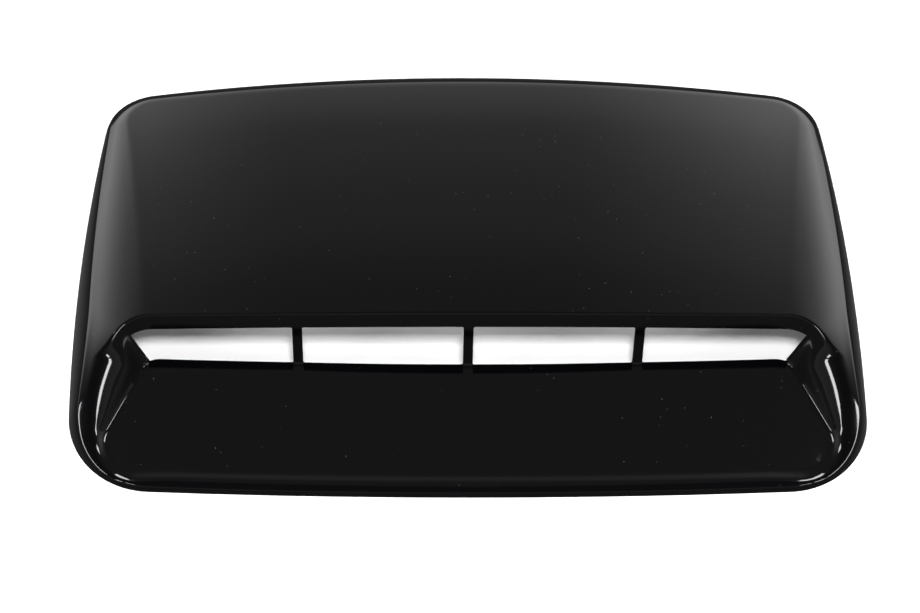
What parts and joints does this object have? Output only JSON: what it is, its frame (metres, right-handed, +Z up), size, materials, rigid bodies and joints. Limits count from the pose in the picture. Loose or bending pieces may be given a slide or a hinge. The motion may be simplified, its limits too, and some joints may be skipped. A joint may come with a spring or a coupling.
{
  "type": "bonnet scoop",
  "caption": "Low moulded bonnet scoop: a crowned hood over a wide barred mouth, a dished tray in front of it, rounded cheeks, and a hollow underside with a return flange.",
  "frame": {"origin": "middle of the base's bounding rectangle, on the plane that lies on the bonnet", "axes": "+X across the car, to the right when seen from the mouth; +Y to the car's rear; +Z up off the bonnet"},
  "size_m": [0.65, 0.4149, 0.0764],
  "materials": {
    "gloss_black": "gloss"
  },
  "bodies": {
    "root": {"scoop_moulding": "gloss_black"}
  },
  "joints": []
}
